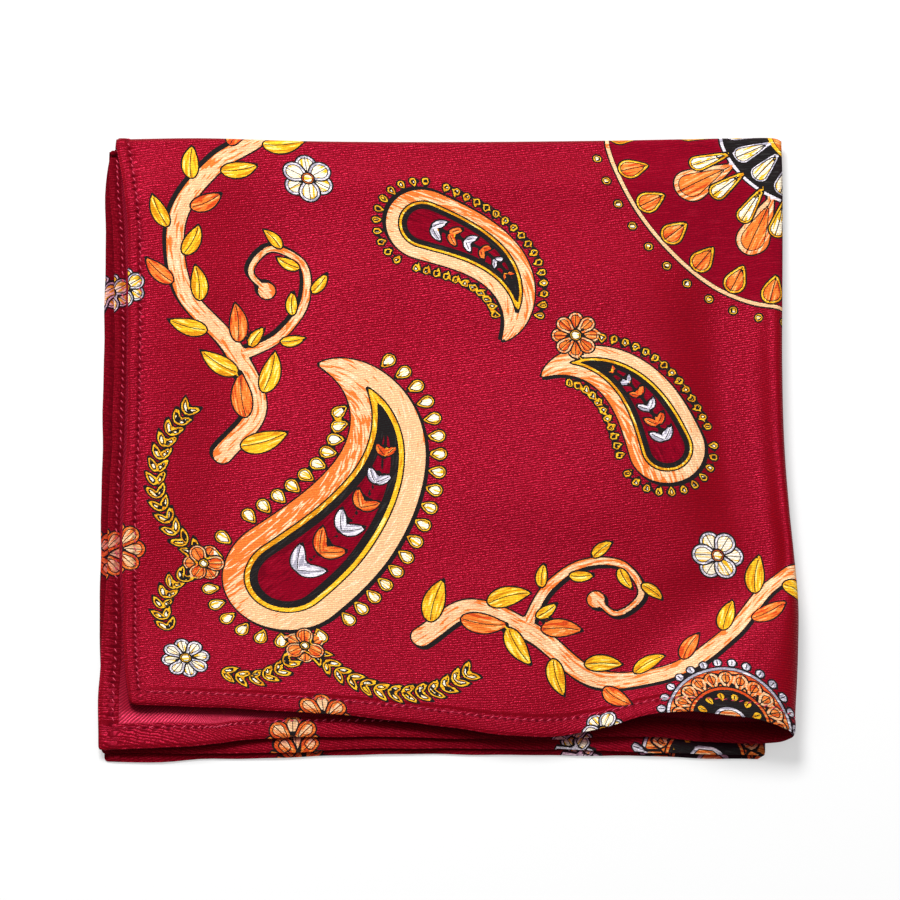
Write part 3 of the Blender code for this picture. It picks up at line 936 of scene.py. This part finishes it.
class Nodes:
    """Shorthand for building a material's nodes."""

    def __init__(self, name):
        self.material = bpy.data.materials.new(name)
        self.material.use_nodes = True
        self.tree = self.material.node_tree
        self.shader = self.tree.nodes["Principled BSDF"]

    def new(self, kind, **settings):
        node = self.tree.nodes.new(kind)
        for name, value in settings.items():
            setattr(node, name, value)
        return node

    def feed(self, sockets, *values):
        """Gives sockets, in turn, a colour, a number or what another node works out."""
        for socket, value in zip(sockets, values):
            value = getattr(value, "socket", value)
            if isinstance(value, bpy.types.NodeSocket):
                self.tree.links.new(value, socket)
            else:
                socket.default_value = value

    def shade(self, **values):
        """Sets the shader's sockets, each named with _ for its spaces."""
        for name, value in values.items():
            self.feed([self.shader.inputs[name.replace("_", " ")]], value)

    def math(self, operation, *values):
        node = self.new("ShaderNodeMath", operation=operation)
        self.feed(node.inputs, *values)
        return Value(self, node.outputs[0])

    def largest(self, first, *others):
        for other in others:
            first = self.math("MAXIMUM", first, other)
        return first

    def mix(self, share, first, second, blend_type="MIX"):
        node = self.new("ShaderNodeMix", data_type="RGBA", blend_type=blend_type)
        self.feed([node.inputs[0], node.inputs[6], node.inputs[7]], share, first, second)
        return node.outputs[2]

    def multiplied(self, colour, by):
        """A colour times another colour, or times a value."""
        if isinstance(by, Value):
            grey = self.new("ShaderNodeCombineColor")
            self.feed(grey.inputs, by, by, by)
            by = grey.outputs[0]
        return self.mix(1.0, colour, by, "MULTIPLY")

    def attribute(self, name):
        """The three parts of a mesh's own vector."""
        node = self.new("ShaderNodeSeparateXYZ")
        held = self.new("ShaderNodeAttribute", attribute_name=name)
        self.feed(node.inputs, held.outputs["Vector"])
        return [Value(self, socket) for socket in node.outputs]

    def noise(self, vector, scale, detail=2.0, roughness=0.5):
        node = self.new("ShaderNodeTexNoise")
        self.feed([node.inputs[name] for name in ("Vector", "Scale", "Detail", "Roughness")],
                  vector, scale, detail, roughness)
        return Value(self, node.outputs["Fac"])

    def flat_noise(self, x, y, detail=2.0, roughness=0.5, scale=1.0):
        node = self.new("ShaderNodeCombineXYZ")
        self.feed(node.inputs, x, y)
        return self.noise(node.outputs[0], scale, detail, roughness)

    def palette(self, index, colours):
        node = self.new("ShaderNodeValToRGB")
        node.color_ramp.interpolation = "CONSTANT"
        bars = node.color_ramp.elements
        while len(bars) < len(colours):
            bars.new(1.0)
        for k, colour in enumerate(colours):
            bars[k].position = max(0.0, (k - 0.5) / len(colours))
            bars[k].color = (*colour, 1.0)
        self.feed(node.inputs, index / float(len(colours)))
        return node.outputs[0]


LINE = 0.25                # half the width of a printed outline
INNER_LINE = 0.14
INK = (*FILLS[BLACK], 1.0)
STROKE_REACH = 2.6         # how deep the strokes of shading go in from an outline


def print_layer(n, layer, below):
    """One layer of the print over the colour below it, and where that layer is."""
    p, q, d = n.attribute(f"{layer}_place")
    both, rib, inset = n.attribute(f"{layer}_style")
    inner_colour = n.math("FLOOR", both * (1 / 8) + 0.01)
    outer_colour = both - inner_colour * 8.0
    depth = d * -1.0
    streaks = n.flat_noise(p * 0.16, q * 1.25, 1.5)
    wanted = (depth / STROKE_REACH).clamped() * 0.11 + 0.50
    stroke = streaks > wanted - q * 0.012
    glint = (streaks < 0.40) * (depth > 0.6)
    banded = inset > 0.1
    is_inner = (depth > inset) * banded
    index = inner_colour * is_inner + outer_colour * (1.0 - is_inner)
    inner = n.mix(stroke, n.palette(index, FILLS), n.palette(index, STROKES))
    inner = n.mix(glint, inner, n.palette(index, GLINTS))
    on_rib = (abs(q) < rib) * (depth > 0.55)
    on_inset = (abs(depth - inset) < INNER_LINE) * banded
    inner = n.mix(n.largest(abs(d) < LINE, on_rib, on_inset), inner, INK)
    covers = d < LINE
    return n.mix(covers, below, inner), covers


def bell(value, width):
    """1 where a value is 0, fading out over a width to either side."""
    share = value / width
    return value.nodes.math("EXPONENT", share * share * -1.0)


def seam(n, off, along, off_other):
    """A seam's marks: its band, the dimples between its stitches, its groove and its ripples.

    off_other is the distance from the seam that it ends at.
    """
    turns = along * (2 * math.pi / STITCH_PITCH)
    uneven_by = n.flat_noise(off, along * 0.5, 1.0)
    between = (n.math("COSINE", turns) * -0.5 + 0.5) ** 2.0
    between = between * (uneven_by * 2.4 - 0.35).clamped() * (off_other > 0.0)
    ripples = n.math("SINE", turns) * bell(off, 1.9)
    band = 1.0 - (off - (PAST_STITCH - 0.2)).clamped()
    return band, between * bell(off + 0.35, 0.50), bell(off, 0.8), ripples


def ribs(place, pitch, waver):
    """Threads side by side, at a pitch, from 0 to 1."""
    return place.nodes.math("SINE", place * (2 * math.pi / pitch) + waver) * 0.5 + 0.5


def right_weave(n, s, t, front_band):
    """Height of the right side: short ribs across the cloth with threads across them."""
    slow = n.flat_noise(s * 0.20, t * 0.40)
    quick = n.flat_noise(s * 0.80, t * 0.80)
    across = ribs(t - s * (front_band * 0.14 + 0.13), RIB_PITCH, quick * 5.0 + slow * 8.0)
    down = ribs(s, THREAD_PITCH, quick * 6.0)
    dashes = (n.flat_noise(s * 1.45, t * 1.9, 2.0, 0.6) * 5.2 - 2.0).clamped()
    return across * (dashes * 0.85 + 0.15) * (down * 0.38 + 0.62)


def wrong_weave(n, s, t):
    """Height of the wrong side: the twill's own slanted ribs, broken up by its threads."""
    slanted = ribs(s * 0.85 + t * 0.53, SLANT_PITCH, n.flat_noise(s * 0.35, t * 0.35) * 5.0)
    beads = (n.flat_noise(s * 1.6, t * 1.9, 2.0, 0.6) * 3.0 - 0.95).clamped()
    return slanted * (beads * 0.6 + 0.4)


RIB_PITCH = 0.77
THREAD_PITCH = 0.70
SLANT_PITCH = 0.66
PLAIN_ROUGHNESS = 0.86      # in the weave's hollows
CREST_ROUGHNESS = 0.36      # on its crests
PRINT_ROUGHNESS = 1.0
CREST = 1.46               # painted light on the weave's crests and painted shade in its hollows, as factors of the colour
HOLLOW = 0.71
COLOURED_SHEEN = 0.22       # the part of the sheen that takes the dyed thread's own colour
# Painted shade: where the edges of the layer above shade the cloth, its colour is multiplied
# towards this.
PAINTED_SHADE_COLOUR = (0.60, 0.25, 0.35, 1.0)


def cloth_material(name, ground, dull, print_share, is_right):
    """The printed twill. print_share is how much of the print shows on that side."""
    n = Nodes(name)
    s, t, _ = n.attribute("weave")
    # shade is the painted shade from the edges above, stored on the mesh.
    off_side, off_front, shade = n.attribute("off_seams_and_shade")
    *side, side_ripples = seam(n, off_side, t, off_front)
    *front, front_ripples = seam(n, off_front, s, off_side)
    band, dimples, groove = [n.largest(*pair) for pair in zip(side, front)]
    dimples = dimples * (1.0 - shade).clamped()
    if is_right:
        weave = right_weave(n, front_ripples * 0.38 + s, side_ripples * 0.38 + t, front[0])
    else:
        weave = wrong_weave(n, s, t)
    cloud = n.flat_noise(s, t, 3.0, 0.5, 0.035)
    base = n.mix(cloud, (*ground, 1.0), (*dull, 1.0))
    covered = n.attribute("shade_place")[2] < LINE
    shown = n.mix(covered, base, INK)
    for layer in LAYERS[1:]:
        shown, covers = print_layer(n, layer, shown)
        covered = n.largest(covered, covers)
    if print_share < 1:
        shown = n.mix(print_share, base, shown)
        covered = covered * print_share
    # Painted light and shade: the weave's crests lighter and its hollows darker, with painted
    # shade on the hem bands, in the dimples between stitches and in the seams' grooves.
    light = weave * (CREST - HOLLOW) + HOLLOW
    light = light * (1.0 - band * 0.06) * (1.0 - dimples * 0.65) * (1.0 - groove * 0.12)
    # Painted shade: the colour is darkened towards the painted shade colour where the edges above
    # shade it.
    shown = n.multiplied(n.multiplied(shown, light), n.mix(shade, (1, 1, 1, 1), PAINTED_SHADE_COLOUR))
    bump = n.new("ShaderNodeBump")
    n.feed([bump.inputs[name] for name in ("Strength", "Distance", "Height")],
           0.55, 0.00013, weave - groove * 0.6 - dimples)
    gloss = (weave * 2.2).clamped()
    rough = (gloss * (CREST_ROUGHNESS - PLAIN_ROUGHNESS) + PLAIN_ROUGHNESS + band * 0.05
             + shade * 0.42 + dimples * 0.30)
    rough = (covered * (PRINT_ROUGHNESS - rough) + rough).clamped()
    n.shade(Base_Color=shown, Normal=bump.outputs[0], Roughness=rough, Metallic=COLOURED_SHEEN,
            Specular_IOR_Level=0.55, Specular_Tint=(1.0, 0.08, 0.30, 1.0))
    return n.material


def thread_material():
    n = Nodes("sewing_thread")
    grain = n.noise(n.new("ShaderNodeNewGeometry").outputs["Position"], 2500.0)
    n.shade(Base_Color=n.mix(grain, (0.36, 0.015, 0.043, 1.0), (0.52, 0.047, 0.094, 1.0)),
            Roughness=0.45, Specular_Tint=(1.0, 0.30, 0.42, 1.0))
    return n.material


def floor_material():
    """A matt, pale material that shines a little, so that shadows on it stay light."""
    n = Nodes("floor")
    n.shade(Base_Color=(0.31, 0.31, 0.31, 1.0), Roughness=0.9, Emission_Color=(1, 1, 1, 1),
            Emission_Strength=0.51)
    return n.material


# Stitches

STITCH_RADIUS = 0.20
STITCH_SLANT = 30.0
STITCH_RINGS = 7
STITCH_SIDES = 8


def one_stitch():
    """A stitch along +X: a flattened bead whose ends go down into the cloth."""
    u, turned = np.meshgrid(np.arange(STITCH_RINGS + 1) / STITCH_RINGS,
                            2 * np.pi * np.arange(STITCH_SIDES) / STITCH_SIDES, indexing="ij")
    thick = STITCH_RADIUS * (0.35 + 0.65 * np.clip(np.sin(np.pi * u), 0, 1) ** 0.5)
    rings = np.stack([(u - 0.5) * STITCH_LENGTH, thick * np.cos(turned),
                      0.85 * thick * np.sin(turned) - 0.16 * (2 * u - 1) ** 4], axis=2)
    index = np.arange(rings[..., 0].size).reshape(u.shape)
    after = np.roll(index, -1, axis=1)
    walls = np.stack([index[:-1], after[:-1], after[1:], index[1:]], axis=2).reshape(-1, 4)
    return rings.reshape(-1, 3), [*walls.tolist(), index[0, ::-1].tolist(), index[-1].tolist()]


def stitches_along(line, normals, places, verts, faces):
    """Adds stitches on a line of points with the cloth's outward normals, one at each
    whole pitch of its places along the seam."""
    if places[0] > places[-1]:
        line = line[::-1]
        normals = normals[::-1]
        places = places[::-1]
    shape, shape_faces = one_stitch()
    first = math.ceil(places[0] / STITCH_PITCH + 0.5)
    last = math.floor(places[-1] / STITCH_PITCH - 0.5)
    for place in np.arange(first, last + 1) * STITCH_PITCH:
        ahead = spot(line, places, place + 0.8) - spot(line, places, place - 0.8)
        ahead = ahead / np.linalg.norm(ahead)
        up = spot(normals, places, place)
        up = up - ahead * np.dot(up, ahead)
        up = up / np.linalg.norm(up)
        across = np.cross(up, ahead)
        leaning = math.radians(STITCH_SLANT) * (1 + 0.35 * math.sin(2.3 * place))
        forward = ahead * math.cos(leaning) + across * math.sin(leaning)
        across = np.cross(up, forward)
        start = len(verts)
        long = 0.86 + 0.14 * math.sin(1.7 * place)
        verts.extend(spot(line, places, place) + up * 0.08 + shape[:, :1] * forward * long
                     + shape[:, 1:2] * across + shape[:, 2:] * up)
        faces.extend(tuple(start + i for i in face) for face in shape_faces)


def stitch_piece(name, rows, material):
    """All stitches of one side of a piece, as one mesh."""
    verts = []
    faces = []
    for line, normals, places in rows:
        stitches_along(line, normals, places, verts, faces)
    placed(name, verts, faces, [material])


def nearest_index(values, wanted):
    return int(np.abs(np.asarray(values) - wanted).argmin())


cloth_materials = [
    cloth_material("cloth_right_side", (0.168, 0.0, 0.0010), (0.208, 0.0001, 0.0022), 1.0, True),
    cloth_material("cloth_wrong_side", (0.28, 0.012, 0.028), (0.33, 0.018, 0.038), 0.06, False)]


def top_cloth():
    grid = upper_rows(top_columns, GRID_STEP)
    x, y, _, s, _ = np.moveaxis(grid, 2, 0)
    under = np.arange(x.shape[1]) > x.argmax(axis=1)[:, None] + 1
    shaded = under * shade_under_edges(x, y, LEFTMOST_X, front_of_top(x))
    # Painted shade on the top piece: where it runs back under the roll, both sides get it from the
    # front edge above; elsewhere the right side gets none and the wrong side gets it in full.
    return Cloth("cloth_top", grid, s, s, OUTER_STITCH, (shaded, np.where(under, shaded, 1.0)))


def second_cloth():
    grid = upper_rows(second_columns, SECOND_STEP)
    x, y, _, s, _ = np.moveaxis(grid, 2, 0)
    # Painted shade beside and in front of layer 1's edges, on both sides.
    shaded = shade_under_edges(x, y, SECTIONS.at(y, "left"), front_of_top(x))
    return Cloth("cloth_second", grid, s[:, -1:] - s, s, INNER_STITCH, (shaded, shaded))


def lower_cloth():
    grid = lower_rows()[:, ::-1]
    x, y, _, s, _ = np.moveaxis(grid, 2, 0)
    to_outer = s - (OUTER_STITCH - INNER_STITCH)
    nearest = np.minimum(np.maximum(to_outer, 0.0), s[:, :1] - s)
    on_third = s > 0.5 * s[:, :1]
    # Painted shade beside and in front of layer 2's edges on layer 3, and layer 3's edges on layer
    # 4.
    shaded = shade_under_edges(x, y, np.where(on_third, left_of(2, y), left_of(3, y)),
                    np.where(on_third, front_of(2, x), front_of(3, x)))
    return Cloth("cloth_lower", grid, nearest, nearest, INNER_STITCH, (shaded, shaded))


top = top_cloth()
second = second_cloth()
lower = lower_cloth()
thread = thread_material()
stitch_piece("stitches_top", top.seam_rows(1), thread)
stitch_piece("stitches_second", second.seam_rows(-1, HOLLOW_X), thread)
stitch_piece("stitches_lower", lower.seam_rows(1), thread)
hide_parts("top_layer", "hem_1_left", "hem_1_front")
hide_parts("under_layers", "hem_2_left", "hem_2_front")
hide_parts("hem_3_left", "hem_3_front", "hem_4_left", "hem_4_front")

FRAME_WIDTH = 0.279        # what the photograph's frame takes in at the cloth, in metres
OFF_CENTRE = 0.0003        # the middle of the photograph's frame from the cloth's own middle
CAMERA_DISTANCE = 6.0
CAMERA_ELEVATION = 70.0
SENSOR = 36.0


def make_camera():
    data = bpy.data.cameras.new("camera")
    data.sensor_width = SENSOR
    data.lens = SENSOR * CAMERA_DISTANCE / FRAME_WIDTH
    data.clip_end = 20.0
    camera = added("camera", data)
    up = math.radians(CAMERA_ELEVATION)
    target = Vector((OFF_CENTRE, 0.0, 0.0))
    camera.location = target + CAMERA_DISTANCE * Vector((0.0, -math.cos(up), math.sin(up)))
    camera.rotation_euler = (math.pi / 2 - up, 0.0, 0.0)
    bpy.context.scene.camera = camera


def make_window():
    data = bpy.data.lights.new("window", "AREA")
    data.shape = "SQUARE"
    data.size = 0.6
    data.energy = 44.0
    window = added("window", data)
    window.location = (-0.30, 0.95, 1.30)
    window.rotation_euler = (-window.location).to_track_quat("-Z", "Y").to_euler()


SKY_LOW = 0.06             # how bright the studio's soft light is at the sides and overhead
SKY_HIGH = 0.60


def make_studio():
    world = bpy.data.worlds.new("studio")
    bpy.context.scene.world = world
    world.use_nodes = True
    tree = world.node_tree
    height = tree.nodes.new("ShaderNodeSeparateXYZ")
    tree.links.new(tree.nodes.new("ShaderNodeTexCoord").outputs["Generated"], height.inputs[0])
    strength = tree.nodes.new("ShaderNodeMapRange")
    strength.inputs["To Min"].default_value = SKY_LOW
    strength.inputs["To Max"].default_value = SKY_HIGH
    tree.links.new(height.outputs["Z"], strength.inputs["Value"])
    tree.links.new(strength.outputs[0], tree.nodes["Background"].inputs["Strength"])
    tree.nodes["Background"].inputs["Color"].default_value = (1, 1, 1, 1)
    make_window()
    mesh = bpy.data.meshes.new("floor")
    mesh.from_pydata([(-4, -4, 0), (4, -4, 0), (4, 4, 0), (-4, 4, 0)], [], [(0, 1, 2, 3)])
    mesh.materials.append(floor_material())
    added("floor", mesh)


make_camera()
make_studio()
bpy.context.scene.view_settings.view_transform = "Standard"
